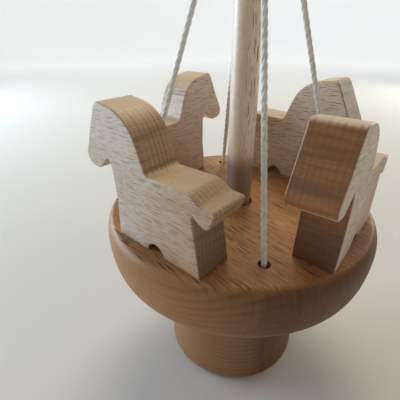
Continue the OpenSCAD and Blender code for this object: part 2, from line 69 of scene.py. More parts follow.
# Rim of the platform: the drop of its widest line, and how far each half curves in
RIM_DROP = 7
RIM_IN_TOP = 3.2
RIM_IN_BOTTOM = 3.7
POST_HOLE_R = 5.6
POST_HOLE_SOFT = 0.35         # rounding of the hole's edges

# Horses, as the frame places them
HORSE_T = 13.5
HORSE_RING_R = 40.3
HORSE_TURN = (1.5, 0.5, 2, -1)
HORSE_SLIP = (0, 0, -1, 1.5)
NOTCH_R = 3.5
OUTLINE_STEP = 1.4            # longest straight piece of the outline
SANDED = 0.54                 # how far the sanded edges reach in, give or take 0.13

# The post's foot, and radius and end height of its sockets: for the arbor below and the ball's tenon above
POST_CHAMFER = 0.5
ARBOR_SOCKET = (2.01, 68)
TENON_SOCKET = (2.51, CAP_TOP - 9)

# The ball's tenon and the flat that it sits on, the cap's rounded edge, and the felt's hole and frayed rim
TENON_R = 2.5
TENON_CHAMFER = 0.3
BALL_SEAT_R = 3.2
CAP_EDGE = 2.2
FELT_HOLE_R = 8
FELT_FRAY = 0.12

# Horse outline: forward, up, corner radius. The origin is on the sole, midway between the feet.
HORSE_CORNERS = (
    (19, 0, 0.7), (17.7, 13.5, 8), (18, 24.5, 3), (19.4, 27.7, 0.3), (25.2, 23.1, 3.2), (33.4, 24.1, 3.4),
    (22.6, 45.4, 2.4), (12.5, 43.9, 13), (6.8, 40, 12), (4.2, 34, 20), (1.6, 26.9, 2), (-14.8, 27.3, 6),
    (-18.9, 24.9, 4), (-24.1, 24.6, 1), (-21.4, 17.2, 2.4), (-15.9, 21, 0.4), (-18.8, 0, 0.7),
)

# Cords: distance from the axis and height, from the knot under the platform to the knot on the cap
CORD_R = 1.0
CORD_LAY = 8.2
CORD_HOLE_R = 2
CORD_HOLE_FLARE = 0.15
CORD_RING_R = 41.3
CAP_RING_R = 8.5
CAP_HOLE_R = 1.6
CAP_HOLE_FLARE = 0.2
KNOT_CORD_R = CORD_R * 0.92   # a pulled knot draws the cord thinner
CORD_ROUTE = (
    (CORD_RING_R, PLATFORM_BOTTOM), (CORD_RING_R - 0.4, PLATFORM_TOP - 1), (CAP_RING_R + 0.3, CAP_BOTTOM - 1),
    (CAP_RING_R, CAP_BOTTOM + 1), (CAP_RING_R, CAP_TOP),
)


def ring_point(radius, angle, z=0):
    return Vector((radius * math.cos(angle), radius * math.sin(angle), z))


def cord_angle(i):
    return math.radians(-45 - 90 * i)


# ---------- camera ----------

CAMERA_REACH = 116.7          # from the axis, level
CAMERA_RISE = 64.6            # above the platform's top face
CAMERA_AT = -57.9             # where it stands round the axis, in degrees from +X
CAMERA_HEADING = 130.0        # which way it looks, in degrees from +X
CAMERA_PITCH = -29.28
CAMERA_ROLL = -0.53
CAMERA_LENS = 28.2


def make_camera():
    camera = bpy.data.objects.new("camera", bpy.data.cameras.new("camera"))
    bpy.context.scene.collection.objects.link(camera)
    bpy.context.scene.camera = camera
    camera.data.lens = CAMERA_LENS
    camera.data.sensor_width = 36
    camera.data.clip_start = 0.005
    camera.data.clip_end = 20
    at, heading, pitch = (math.radians(a) for a in (CAMERA_AT, CAMERA_HEADING, CAMERA_PITCH))
    camera.location = ring_point(CAMERA_REACH, at, PLATFORM_TOP + CAMERA_RISE) * MM
    forward = ring_point(math.cos(pitch), heading, math.sin(pitch))
    turn = forward.to_track_quat("-Z", "Y").to_matrix()
    camera.rotation_euler = (turn @ Matrix.Rotation(math.radians(CAMERA_ROLL), 3, "Z")).to_euler()


make_camera()


# ---------- material graphs ----------

class Graph:
    """A material's node tree. Inputs are given as values or as the sockets that they come from."""

    def __init__(self, name):
        self.material = bpy.data.materials.new(name)
        self.material.use_nodes = True
        self.tree = self.material.node_tree
        self.tree.nodes.clear()

    def node(self, kind, inputs=(), **settings):
        n = self.tree.nodes.new(kind)
        for key, value in settings.items():
            setattr(n, key, value)
        for key, value in dict(inputs).items():
            socket = n.inputs[key]
            if isinstance(value, bpy.types.NodeSocket):
                self.tree.links.new(value, socket)
            else:
                socket.default_value = value
        return n

    def place(self):
        """The object's own coordinates, in millimetres."""
        scaling = {"Vector": self.node("ShaderNodeTexCoord").outputs["Object"], "Scale": (1 / MM,) * 3}
        return self.node("ShaderNodeMapping", scaling).outputs[0]

    def facing(self, axis):
        """1 where the surface looks along an axis, either way, and 0 where it runs beside it."""
        normal = self.node("ShaderNodeTexCoord").outputs["Normal"]
        return self.math("ABSOLUTE", self.vector("DOT_PRODUCT", normal, axis))

    def grey(self, value):
        return self.node("ShaderNodeCombineColor", {0: value, 1: value, 2: value}).outputs[0]

    def math(self, operation, *values):
        return self.node("ShaderNodeMath", enumerate(values), operation=operation).outputs[0]

    def vector(self, operation, *values):
        n = self.node("ShaderNodeVectorMath", enumerate(values), operation=operation)
        return n.outputs["Value" if operation in ("LENGTH", "DOT_PRODUCT") else "Vector"]

    def noise(self, vector, scale, detail=2.0, roughness=0.5):
        inputs = {"Vector": vector, "Scale": scale, "Detail": detail, "Roughness": roughness}
        return self.node("ShaderNodeTexNoise", inputs, noise_dimensions="3D").outputs["Fac"]

    def ramp(self, value, low, high, to_low=0.0, to_high=1.0):
        inputs = {"Value": value, "From Min": low, "From Max": high, "To Min": to_low, "To Max": to_high}
        n = self.node("ShaderNodeMapRange", inputs, interpolation_type="SMOOTHSTEP", clamp=True)
        return n.outputs["Result"]

    def mix(self, share, a, b, blend="MIX"):
        n = self.node("ShaderNodeMix", data_type="RGBA", blend_type=blend)
        for index, value in ((0, share), (6, a), (7, b)):
            if isinstance(value, bpy.types.NodeSocket):
                self.tree.links.new(value, n.inputs[index])
            else:
                n.inputs[index].default_value = value
        return n.outputs[2]

    def bump(self, height, distance, strength):
        inputs = {"Height": height, "Distance": distance, "Strength": strength}
        return self.node("ShaderNodeBump", inputs).outputs["Normal"]

    def surface(self, **inputs):
        named = {key.replace("_", " "): value for key, value in inputs.items()}
        shader = self.node("ShaderNodeBsdfPrincipled", named)
        output = self.node("ShaderNodeOutputMaterial")
        self.tree.links.new(shader.outputs[0], output.inputs["Surface"])
        return self.material


def rgb(red, green, blue):
    """A linear colour from sRGB values of 0 to 255."""
    return tuple(((c / 255 + 0.055) / 1.055) ** 2.4 if c > 10 else c / 255 / 12.92
                 for c in (red, green, blue)) + (1.0,)


def darker(colour, *shares):
    """A colour with its three channels multiplied by one share, or by a share each."""
    shares = shares * 3 if len(shares) == 1 else shares
    return tuple(c * share for c, share in zip(colour[:3], shares)) + (1.0,)


# ---------- wood ----------

# Turns that bring a piece's own axes to the wood's: along the grain, across it, and towards the bark
GRAIN_X_BARK_Y = (math.radians(-90), 0, 0)
GRAIN_X_BARK_Z = (0, 0, 0)
GRAIN_Z_BARK_X = (0, math.radians(90), 0)
WOOD_ROUGH = 0.48
COAT_ROUGH = 0.42


# Depth of a ray's cell and half its own depth, towards the bark
LONG_RAY_DEPTH = (60.0, 150.0)
FINE_RAY_DEPTH = (40.0, 100.0)


def rays(g, place, spindle, depth, seed):
    """Medullary rays: thin spindles, one in each cell. Gives their mask, 1 inside."""
    cell = (spindle[0], spindle[1], depth[0])
    half = (spindle[2], spindle[3], depth[1])
    where = g.vector("ADD", g.vector("DIVIDE", place, cell), (seed, seed * 1.7, seed * 0.6))
    cells = g.node("ShaderNodeTexVoronoi", {"Vector": where, "Scale": 1.0, "Randomness": 1.0})
    off = g.vector("MULTIPLY", g.vector("SUBTRACT", where, cells.outputs["Position"]), cell)
    reach = g.vector("LENGTH", g.vector("DIVIDE", off, half))
    shown = g.node("ShaderNodeSeparateColor", {"Color": cells.outputs["Color"]}).outputs
    mask = g.ramp(reach, 1.0, 0.5)
    return g.math("MULTIPLY", mask, g.ramp(shown[0], 0.1, 0.8, 0.25, 1.0))


def drifting(g, place):
    """The same places with the slow wander of the fibres, across the grain only."""
    slow = {"Vector": g.vector("MULTIPLY", place, (0.04, 0.05, 0.05)), "Scale": 1.0, "Detail": 1.0}
    drift = g.vector("SUBTRACT", g.node("ShaderNodeTexNoise", slow).outputs["Color"], (0.5, 0.5, 0.5))
    return g.vector("ADD", place, g.vector("MULTIPLY", drift, (0.0, 3.6, 3.6)))


def growth_rings(g, place, flow, sideways, gap, bend, wave):
    """Late wood, 1 at a ring's dark edge. Rings lie across the bark direction, bent round the heart."""
    slow = g.noise(g.vector("MULTIPLY", place, (0.012, 0.03, 0.03)), 1.0, 1.0)
    depth = g.node("ShaderNodeSeparateXYZ", {"Vector": flow}).outputs[2]
    depth = g.math("ADD", depth, g.math("MULTIPLY", slow, wave))
    depth = g.math("ADD", depth, g.math("MULTIPLY", g.math("MULTIPLY", sideways, sideways), bend))
    phase = g.math("FRACT", g.math("DIVIDE", depth, gap))
    late = g.math("MULTIPLY", g.ramp(phase, 0.35, 0.9), g.ramp(phase, 1.0, 0.95))
    share = g.noise(g.vector("MULTIPLY", place, (0.02, 0.05, 0.35)), 1.0, 1.0)
    return g.math("MULTIPLY", late, g.ramp(share, 0.3, 0.7, 0.3, 1.0))


def beech(name, turn, grain_axis, across_axis, seed, pale, warm, end, flank, ring_gap=1.7, ring_bend=0.0,
          ring_wave=3.0, ring_side=0.03, ring_end=0.6, ray=(6.2, 1.15, 2.7, 0.17), ray_dark=0.9,
          fine_ray=(3.0, 0.62, 1.25, 0.1), fine_dark=0.55, ray_end=0.5, lustre=0.9, coat=0.0, spin=0.0,
          painted_sheen_axis=None, shade=None):
    """Steamed beech.

    turn, spin: bring the piece's axes to the wood's.
    grain_axis, across_axis: two of the wood's axes, as they lie on the piece.
    pale, warm: the broad faces. end: the end grain. flank: faces that look along across_axis.
    ring_...: the growth rings' gap, bend and wave, and how far they show on the sides and on end grain.
    ray, fine_ray: a ray's cell along and across the grain, and its own half length and width.
    ray_dark, fine_dark: how far the rays show. ray_end: the share of that on end grain.
    warming: an axis along which the wood goes from warm, behind, to pale, in front: a painted sheen.
    shade: two heights, the tone at each, and how far the sides take part, end grain always taking it in full:
    painted shade low down and painted light higher up.
    """
    g = Graph(name)
    turned = g.node("ShaderNodeMapping", {"Vector": g.place(), "Rotation": (0, 0, spin)}).outputs[0]
    place = g.node("ShaderNodeMapping", {"Vector": turned, "Rotation": turn,
                                         "Location": (seed * 13.0, seed * 7.0, seed * 3.0)}).outputs[0]
    own = g.node("ShaderNodeSeparateXYZ", {"Vector": turned}).outputs
    flow = drifting(g, place)
    long_rays = rays(g, flow, ray, LONG_RAY_DEPTH, seed)
    short_rays = rays(g, flow, fine_ray, FINE_RAY_DEPTH, seed + 31.0)
    rings = growth_rings(g, place, flow, own[1], ring_gap, ring_bend, ring_wave)

    fibre = g.noise(g.vector("MULTIPLY", flow, (0.35, 6.0, 6.0)), 1.0, 4.0, 0.65)
    blotch = g.noise(g.vector("MULTIPLY", place, (0.05, 0.16, 0.16)), 1.0, 2.0)
    stripe = g.noise(g.vector("MULTIPLY", flow, (0.03, 0.7, 0.7)), 1.0, 3.0)
    pores = g.ramp(g.noise(g.vector("MULTIPLY", flow, (1.6, 14.0, 14.0)), 1.0, 2.0, 0.6), 0.6, 0.8)
    bands = g.noise(g.vector("MULTIPLY", place, (0.06, 0.55, 0.05)), 1.0, 2.0)
    endwise = g.facing(grain_axis)
    sidelong = g.facing(across_axis)
    dark = darker(warm, 0.3, 0.22, 0.14)

    # the plain tones of the broad faces, the end grain and the flanks, then, where asked, the painted sheen
    # and the painted shade and light
    tone = g.math("ADD", g.math("MULTIPLY", g.ramp(blotch, 0.3, 0.72), 0.55),
                  g.math("MULTIPLY", g.ramp(stripe, 0.3, 0.75), 0.45))
    # painted sheen: the wood grows paler towards the front along the given axis
    if painted_sheen_axis:
        forward = g.vector("DOT_PRODUCT", turned, painted_sheen_axis)
        tone = g.math("ADD", g.math("MULTIPLY", tone, 0.45), g.ramp(forward, 14.0, -16.0, 0.0, 0.65))
    colour = g.mix(tone, pale, warm)
    shaded_end = g.mix(g.ramp(bands, 0.45, 0.7), end, darker(end, 0.62))
    colour = g.mix(g.ramp(endwise, 0.3, 0.9), colour, shaded_end)
    colour = g.mix(g.ramp(sidelong, 0.45, 0.95, 0.0, 0.75), colour, flank)
    # painted shade low down and painted light higher up, by height: in full on end grain, on the sides by
    # their share
    if shade:
        low, high, low_tone, high_tone, side_share = shade
        painted_shade_and_light = g.grey(g.ramp(own[2], low, high, low_tone, high_tone))
        colour = g.mix(g.ramp(endwise, 0.3, 0.9, side_share, 1.0), colour, painted_shade_and_light, "MULTIPLY")

    # fibres, pores, rings and rays on top
    colour = g.mix(1.0, colour, g.grey(g.ramp(fibre, 0.3, 0.7, 1.1, 0.88)), "MULTIPLY")
    colour = g.mix(g.math("MULTIPLY", pores, 0.25), colour, dark)
    colour = g.mix(g.math("MULTIPLY", rings, g.ramp(endwise, 0.0, 0.9, ring_side, ring_end)), colour, dark)
    ray_amount = g.math("MAXIMUM", g.math("MULTIPLY", long_rays, ray_dark),
                        g.math("MULTIPLY", short_rays, fine_dark))
    ray_amount = g.math("MULTIPLY", ray_amount, g.ramp(endwise, 0.3, 0.8, 1.0, ray_end))
    ray_amount = g.math("MULTIPLY", ray_amount, g.ramp(sidelong, 0.5, 0.9, 1.0, 0.15))
    colour = g.mix(ray_amount, colour, dark)

    height = g.math("SUBTRACT", g.math("MULTIPLY", fibre, 0.5), g.math("MULTIPLY", ray_amount, 0.8))
    height = g.math("SUBTRACT", height, g.math("MULTIPLY", pores, 0.35))
    roughness = g.math("ADD", WOOD_ROUGH, g.math("MULTIPLY", g.math("SUBTRACT", fibre, 0.5), 0.25))
    return g.surface(Base_Color=colour, Roughness=roughness, Normal=g.bump(height, 0.05 * MM, 0.5),
                     Specular_IOR_Level=lustre, Coat_Weight=coat, Coat_Roughness=COAT_ROUGH)


# ---------- metals, felt and cotton ----------

TARNISH = 0.25


def metal(name, colour, rough, brushed=(1.0, 1.0, 1.0)):
    """Satin metal. Scratches run along the axis whose share in brushed is smallest."""
    g = Graph(name)
    place = g.place()
    cloud = g.noise(place, 0.35, 4.0, 0.6)
    scratch = g.noise(g.vector("MULTIPLY", place, brushed), 6.0, 3.0, 0.6)
    shade = g.mix(g.math("MULTIPLY", g.ramp(cloud, 0.35, 0.75), TARNISH), colour, darker(colour, 0.55))
    shine = g.math("ADD", g.ramp(scratch, 0.3, 0.7, rough - 0.06, rough + 0.08),
                   g.math("MULTIPLY", g.ramp(cloud, 0.4, 0.8), 0.12))
    normal = g.bump(scratch, 0.01 * MM, 0.35)
    return g.surface(Base_Color=shade, Metallic=1.0, Roughness=shine, Normal=normal)


def zinc_casting(name):
    g = Graph(name)
    place = g.place()
    grainy = g.noise(place, 2.4, 4.0, 0.7)
    cloud = g.noise(place, 0.2, 2.0)
    shade = g.mix(g.ramp(cloud, 0.3, 0.7), rgb(150, 152, 156), rgb(122, 124, 129))
    normal = g.bump(grainy, 0.05 * MM, 0.5)
    rough = g.ramp(grainy, 0.3, 0.7, 0.42, 0.6)
    return g.surface(Base_Color=shade, Metallic=0.85, Roughness=rough, Normal=normal)


def felt_wool(name):
    g = Graph(name)
    place = g.place()
    tangle = g.node("ShaderNodeTexNoise", {"Vector": place, "Scale": 1.2}).outputs["Color"]
    hairs = g.noise(g.vector("ADD", place, tangle), 3.2, 5.0, 0.75)
    shade = g.mix(g.ramp(hairs, 0.3, 0.7), rgb(58, 70, 56), rgb(92, 104, 86))
    normal = g.bump(hairs, 0.25 * MM, 0.8)
    return g.surface(Base_Color=shade, Roughness=0.95, Normal=normal, Sheen_Weight=0.5, Sheen_Roughness=0.5)


def cotton_yarn(name):
    g = Graph(name)
    place = g.place()
    hairs = g.noise(g.vector("MULTIPLY", place, (5.0, 5.0, 1.6)), 1.0, 4.0, 0.7)
    cloud = g.noise(place, 0.25, 2.0)
    shade = g.mix(g.ramp(hairs, 0.3, 0.7), rgb(234, 235, 225), rgb(248, 248, 242))
    shade = g.mix(g.math("MULTIPLY", g.ramp(cloud, 0.4, 0.75), 0.3), shade, rgb(214, 210, 196))
    normal = g.bump(hairs, 0.08 * MM, 0.6)
    return g.surface(Base_Color=shade, Roughness=0.85, Normal=normal, Sheen_Weight=0.3, Sheen_Roughness=0.5)


# ---------- shapes ----------

def rounded(corners, step=7.0):
    """An outline's points, with each corner (x, y, radius) replaced by an arc."""
    made = []
    for i, (x, y, radius) in enumerate(corners):
        p = Vector((x, y))
        if not radius:
            made.append(p)
            continue
        before = (Vector(corners[i - 1][:2]) - p).normalized()
        after = (Vector(corners[(i + 1) % len(corners)][:2]) - p).normalized()
        half = before.angle(after) / 2
        centre = p + (before + after).normalized() * radius / math.sin(half)
        start = p + before * radius / math.tan(half) - centre
        end = p + after * radius / math.tan(half) - centre
        first = math.atan2(start.y, start.x)
        swing = (math.atan2(end.y, end.x) - first + math.pi) % (2 * math.pi) - math.pi
        steps = max(3, math.ceil(abs(math.degrees(swing)) / step))
        for k in range(steps + 1):
            a = first + swing * k / steps
            made.append(centre + radius * Vector((math.cos(a), math.sin(a))))
    return made


def resampled(points, most):
    """Adds points to a closed outline, so that no side is longer than most."""
    made = []
    for i, p in enumerate(points):
        q = points[(i + 1) % len(points)]
        parts = max(1, math.ceil((q - p).length / most))
        made += [p.lerp(q, k / parts) for k in range(parts)]
    return made


def arc(centre, rx, ry, start, end, steps=16):
    angles = [math.radians(start + (end - start) * k / steps) for k in range(steps + 1)]
    return [Vector((centre[0] + rx * math.cos(a), centre[1] + ry * math.sin(a))) for a in angles]


def add_object(name, mesh_data, material):
    made = bpy.data.objects.new(name, mesh_data)
    bpy.context.scene.collection.objects.link(made)
    made.data.materials.append(material)
    for face in made.data.polygons:
        face.use_smooth = True
    return made


def even_normals(made):
    """Keeps broad flat faces flat where they meet a rounded edge."""
    weigh = made.modifiers.new("normals", "WEIGHTED_NORMAL")
    weigh.weight = 100
    weigh.keep_sharp = True
    return made


def from_lists(name, points, faces, material):
    data = bpy.data.meshes.new(name)
    data.from_pydata([Vector(p) * MM for p in points], [], faces)
    bm = bmesh.new()
    bm.from_mesh(data)
    bmesh.ops.recalc_face_normals(bm, faces=bm.faces)
    bm.to_mesh(data)
    bm.free()
    return add_object(name, data, material)


def turned_ring(radius, z, steps):
    return [ring_point(radius, math.tau * j / steps, z) for j in range(steps)]


def lathe(name, profile, material, steps):
    """A turned solid from its closed profile of (radius, height) points. Points on the axis become poles."""
    points, rings, faces = [], [], []
    for p in profile:
        if p[0] < 1e-6:
            rings.append([len(points)])
            points.append((0, 0, p[1]))
        else:
            rings.append(list(range(len(points), len(points) + steps)))
            points += turned_ring(p[0], p[1], steps)
    for a, b in zip(rings, rings[1:] + rings[:1]):
        if len(a) == 1 and len(b) == 1:
            continue
        for j in range(steps):
            k = (j + 1) % steps
            corners = (a[j % len(a)], a[k % len(a)], b[k % len(b)], b[j % len(b)])
            faces.append(tuple(dict.fromkeys(corners)))
    return from_lists(name, points, faces, material)


def drilled(made, cutters):
    """Cuts the cutters out of a piece and removes them."""
    for cutter in cutters:
        cut = made.modifiers.new("hole", "BOOLEAN")
        cut.operation = "DIFFERENCE"
        cut.solver = "EXACT"
        cut.object = cutter
    bpy.context.view_layer.update()
    seen = made.evaluated_get(bpy.context.evaluated_depsgraph_get())
    data = bpy.data.meshes.new_from_object(seen)
    made.modifiers.clear()
    made.data = data
    for cutter in cutters:
        bpy.data.objects.remove(cutter)
    return made


def flared_drill(radius, low, high, flare, material):
    """A drill whose ends widen, for a hole with a broken edge."""
    wide, below, above = radius + flare, low - 1, high + 1
    profile = [(0, below), (wide, below), (wide, low), (radius, low + flare),
               (radius, high - flare), (wide, high), (wide, above), (0, above)]
    return lathe("drill", profile, material, 48)


def drill_for_cords(made, ring_r, radius, low, high, flare, material):
    cutters = []
    for i in range(4):
        drill = flared_drill(radius, low, high, flare, material)
        cutters.append(placed(drill, Matrix.Translation(ring_point(ring_r, cord_angle(i)) * MM)))
    return drilled(made, cutters)


def placed(made, matrix):
    made.matrix_world = matrix
    return made


def stand(made, body, slot, *nodes):
    """Puts a finished piece on its body, in place of the frame's nodes."""
    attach(made, body)
    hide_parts(*nodes)
    return made


# ---------- horses ----------

def horse_matrix(i):
    """Local X runs forward, local Y outward."""
    a = math.radians(270 - 90 * i)
    place = Matrix.Translation(ring_point(HORSE_RING_R, a, PLATFORM_TOP) * MM)
    slip = Matrix.Translation((HORSE_SLIP[i] * MM, 0, 0))
    turn = Matrix.Rotation(-math.radians(HORSE_TURN[i]), 4, "Z")
    return place @ Matrix.Rotation(a - math.pi / 2, 4, "Z") @ slip @ turn


def horse_outline():
    notch = [(NOTCH_R * math.cos(math.radians(a)), NOTCH_R * math.sin(math.radians(a)), 0)
             for a in range(162, 17, -12)]         # between the rounded corners where it meets the sole
    corners = [*HORSE_CORNERS, (-NOTCH_R, 0, 0.7), *notch, (NOTCH_R, 0, 0.7)]
    return resampled(rounded(corners), OUTLINE_STEP)


def horse(i, material):
    """A sawn board with sanded edges: rings of the outline, drawn in towards both faces."""
    outline = horse_outline()
    count = len(outline)
    turn = random.random() * 10
    ways = []
    for j, p in enumerate(outline):
        along = outline[(j + 1) % count] - outline[j - 1]
        ways.append(Vector((along.y, -along.x)).normalized())
    softness = [SANDED + 0.08 * math.sin(0.21 * j + turn) + 0.05 * math.sin(0.53 * j + 2 * turn)
                for j in range(count)]
    steps = 5
    layers = []
    for side in (-1, 1):
        for k in range(steps + 1):
            a = math.radians(90 * (k if side > 0 else steps - k) / steps)
            layers.append((side, a))
    points = []
    for side, a in layers:
        for p, way, soft in zip(outline, ways, softness):
            q = p - way * soft * (1 - math.cos(a))
            points.append((q.x, side * (HORSE_T / 2 - soft * (1 - math.sin(a))), q.y))
    faces = [tuple(range(count)), tuple(range((len(layers) - 1) * count, len(layers) * count))]
    for r in range(len(layers) - 1):
        for j in range(count):
            k = (j + 1) % count
            faces.append((r * count + j, r * count + k, (r + 1) * count + k, (r + 1) * count + j))
    made = from_lists(f"sawn_horse_{i + 1}", points, faces, material)
    for face in made.data.polygons:
        face.use_smooth = len(face.vertices) == 4
    even_normals(placed(made, horse_matrix(i)))
    return stand(made, "carousel", "horse_beech", f"horse_{i + 1}")


# ---------- turned pieces ----------

def platform_profile():
    rim_z = PLATFORM_TOP - RIM_DROP
    soft, inner = POST_HOLE_SOFT, POST_HOLE_R
    lower = arc((PLATFORM_R - RIM_IN_BOTTOM, rim_z), RIM_IN_BOTTOM, rim_z - PLATFORM_BOTTOM, -90, 0, 24)
    upper = arc((PLATFORM_R - RIM_IN_TOP, rim_z), RIM_IN_TOP, RIM_DROP, 0, 90, 24)[1:]
    bore = arc((inner + soft, PLATFORM_TOP - soft), soft, soft, 90, 180, 5) + \
        arc((inner + soft, PLATFORM_BOTTOM + soft), soft, soft, 180, 270, 5)
    return lower + upper + bore


def make_platform(material):
    made = lathe("turned_platform", platform_profile(), material, 192)
    drill_for_cords(made, CORD_RING_R, CORD_HOLE_R, PLATFORM_BOTTOM, PLATFORM_TOP, CORD_HOLE_FLARE, material)
    even_normals(made)
    return stand(made, "carousel", "platform_beech", "platform")


def make_cap(material):
    middle, half = (CAP_TOP + CAP_BOTTOM) / 2, (CAP_TOP - CAP_BOTTOM) / 2
    bore = post_high.x
    edge = arc((cap_high.x - CAP_EDGE, middle), CAP_EDGE, half, -90, 90, 28)
    profile = [(bore, CAP_BOTTOM)] + edge + [(bore, CAP_TOP)]
    made = lathe("turned_cap", profile, material, 96)
    drill_for_cords(made, CAP_RING_R, CAP_HOLE_R, CAP_BOTTOM, CAP_TOP, CAP_HOLE_FLARE, material)
    even_normals(made)
    return stand(made, "carousel", "platform_beech", "top_cap")


def make_finial(material):
    """A ball with a flat seat and a tenon."""
    low, top, ball = finial_low.z, finial_high.z, finial_high.x
    first = -math.degrees(math.acos(BALL_SEAT_R / ball))
    profile = [(0, low), (TENON_R - TENON_CHAMFER, low), (TENON_R, low + TENON_CHAMFER), (TENON_R, CAP_TOP)] \
        + arc((0, top - ball), ball, ball, first, 90, 48)
    profile[-1] = (0, top)
    made = lathe("turned_ball", profile, material, 96)
    return stand(made, "carousel", "dowel_beech", "finial")


def make_post(material):
    """The dowel, with the sockets for the arbor below and the ball's tenon above."""
    r, low, high = post_high.x, post_low.z, post_high.z
    (foot_r, foot_end), (head_r, head_end) = ARBOR_SOCKET, TENON_SOCKET
    profile = [(foot_r, low), (r - POST_CHAMFER, low), (r, low + POST_CHAMFER), (r, high), (head_r, high),
               (head_r, head_end), (0, head_end), (0, foot_end), (foot_r, foot_end)]
    made = lathe("turned_post", profile, material, 96)
    even_normals(made)
    return stand(made, "carousel", "dowel_beech", "post")


# ---------- felt ----------

def make_felt(material):
    """A pressed ring with soft edges and a slightly uneven rim."""
    low, high, r, hole = felt_low.z, felt_high.z, felt_high.x, FELT_HOLE_R
    half = (high - low) / 2
    section = arc((r - half, low + half), half, half, -90, 90, 8) \
        + arc((hole + half, low + half), half, half, 90, 270, 8)
    made = lathe("felt_ring", section, material, 160)
    for v in made.data.vertices:
        a = math.atan2(v.co.y, v.co.x)
        reach = math.hypot(v.co.x, v.co.y)
        ragged = FELT_FRAY * (math.sin(23 * a) + math.sin(41 * a + 1.3) - 2) * MM
        if reach > (r - 2 * half) * MM:
            v.co.x += ragged * math.cos(a)
            v.co.y += ragged * math.sin(a)
    return stand(made, "base", "felt", "felt_pad")


# ---------- cords ----------

def fine_route():
    """The route with its bends rounded, as evenly spaced points of (radius, height)."""
    corners = [Vector(p) for p in CORD_ROUTE]
    soft = [corners[0]]
    for before, corner, after in zip(corners, corners[1:], corners[2:]):
        reach = min(1.2, (before - corner).length * 0.45, (after - corner).length * 0.45)
        a = corner + (before - corner).normalized() * reach
        b = corner + (after - corner).normalized() * reach
        soft += [a.lerp(corner, t).lerp(corner.lerp(b, t), t) for t in (0, 0.25, 0.5, 0.75, 1)]
    soft.append(corners[-1])
    return soft


def spaced(points, gap):
    """Points at equal steps along a polyline."""
    lengths = [0.0]
    for a, b in zip(points, points[1:]):
        lengths.append(lengths[-1] + (b - a).length)
    count = max(2, round(lengths[-1] / gap))
    made, i = [], 0
    for k in range(count + 1):
        s = lengths[-1] * k / count
        while i < len(points) - 2 and lengths[i + 1] < s:
            i += 1
        share = (s - lengths[i]) / max(1e-9, lengths[i + 1] - lengths[i])
        made.append(points[i].lerp(points[i + 1], share))
    return made


def twisted(path, radius, lay, gap=0.3, sides=10, plies=3):
    """Plies laid round each other along a path, each with the ridges of its own yarns: points and faces."""
    path = spaced(path, gap)
    points, faces = [], []
    last = len(path) - 1
    ways = [(path[min(i + 1, last)] - path[max(i - 1, 0)]).normalized() for i in range(last + 1)]
    normal = ways[0].orthogonal().normalized()
    frames = []
    for way in ways:
        normal = (normal - way * normal.dot(way)).normalized()
        frames.append((normal.copy(), way.cross(normal)))
    ply_r = radius * 0.56
    for ply in range(plies):
        start = len(points)
        for i, (p, (n, b)) in enumerate(zip(path, frames)):
            turn = math.tau * (i * gap / lay + ply / plies)
            out = n * math.cos(turn) + b * math.sin(turn)
            side = b * math.cos(turn) - n * math.sin(turn)
            lean = (ways[i] + side * (math.tau * (radius - ply_r) / lay)).normalized()
            flat = lean.cross(out)
            centre = p + out * (radius - ply_r)
            for j in range(sides):
                a = math.tau * j / sides
                ridge = 1 + 0.05 * math.cos(4 * a + 2.2 * turn)
                points.append(centre + (out * math.cos(a) + flat * math.sin(a)) * ply_r * min(ridge, 1.0))
        rings = last + 1
        for i in range(rings - 1):
            for j in range(sides):
                k = (j + 1) % sides
                q = start + i * sides
                faces.append((q + j, q + k, q + sides + k, q + sides + j))
        faces.append(tuple(start + j for j in reversed(range(sides))))
        faces.append(tuple(start + (rings - 1) * sides + j for j in range(sides)))
    return points, faces


def cord(i, material):
    path = [ring_point(p.x, cord_angle(i), p.y) for p in fine_route()]
    points, faces = twisted(path, CORD_R, CORD_LAY)
    made = from_lists(f"laid_cord_{i + 1}", points, faces, material)
    return stand(made, "carousel", "cotton_cord", f"cord_{i + 1}")


def knot_path():
    """Up the middle, over the top, round the standing part, and out as a short tail. Height runs from 0."""
    path = [(0, 0, z) for z in (-0.6, 0.0, 0.9, 1.8, 2.5)]
    path += [(0.35, 0.05, 3.0), (0.95, 0.2, 3.25), (1.5, 0.5, 3.0)]
    steps = 26
    for k in range(steps + 1):
        t = k / steps
        path.append(ring_point(1.7, math.radians(25 + 430 * t), 2.75 - 1.75 * t))
    path += [(0.1, 2.1, 1.2), (-0.7, 2.2, 1.9), (-1.2, 2.1, 2.8), (-1.5, 2.1, 3.5)]
    return [Vector(p) for p in path]


def knots(name, node, ring_r, z, upward, material):
    """Four knots on a ring, on top of a face or hanging under it, with tails that clear their neighbours."""
    points, faces = [], []
    for i in range(4):
        a = cord_angle(i)
        turn = Matrix.Rotation(a + math.radians(90 if upward else -60), 3, "Z")
        flip = Matrix.Diagonal((1, 1, 1) if upward else (1, -1, -1))
        path = [ring_point(ring_r, a, z) + turn @ (flip @ p) for p in knot_path()]
        some, sides = twisted(path, KNOT_CORD_R, CORD_LAY, gap=0.22)
        shift = len(points)
        points += some
        faces += [tuple(v + shift for v in f) for f in sides]
    made = from_lists(name, points, faces, material)
    return stand(made, "carousel", "cotton_cord", node)


# ---------- materials ----------

HORSE_PALE = rgb(222, 206, 188)
HORSE_WARM = rgb(196, 156, 120)
HORSE_GOLD = rgb(238, 206, 164)
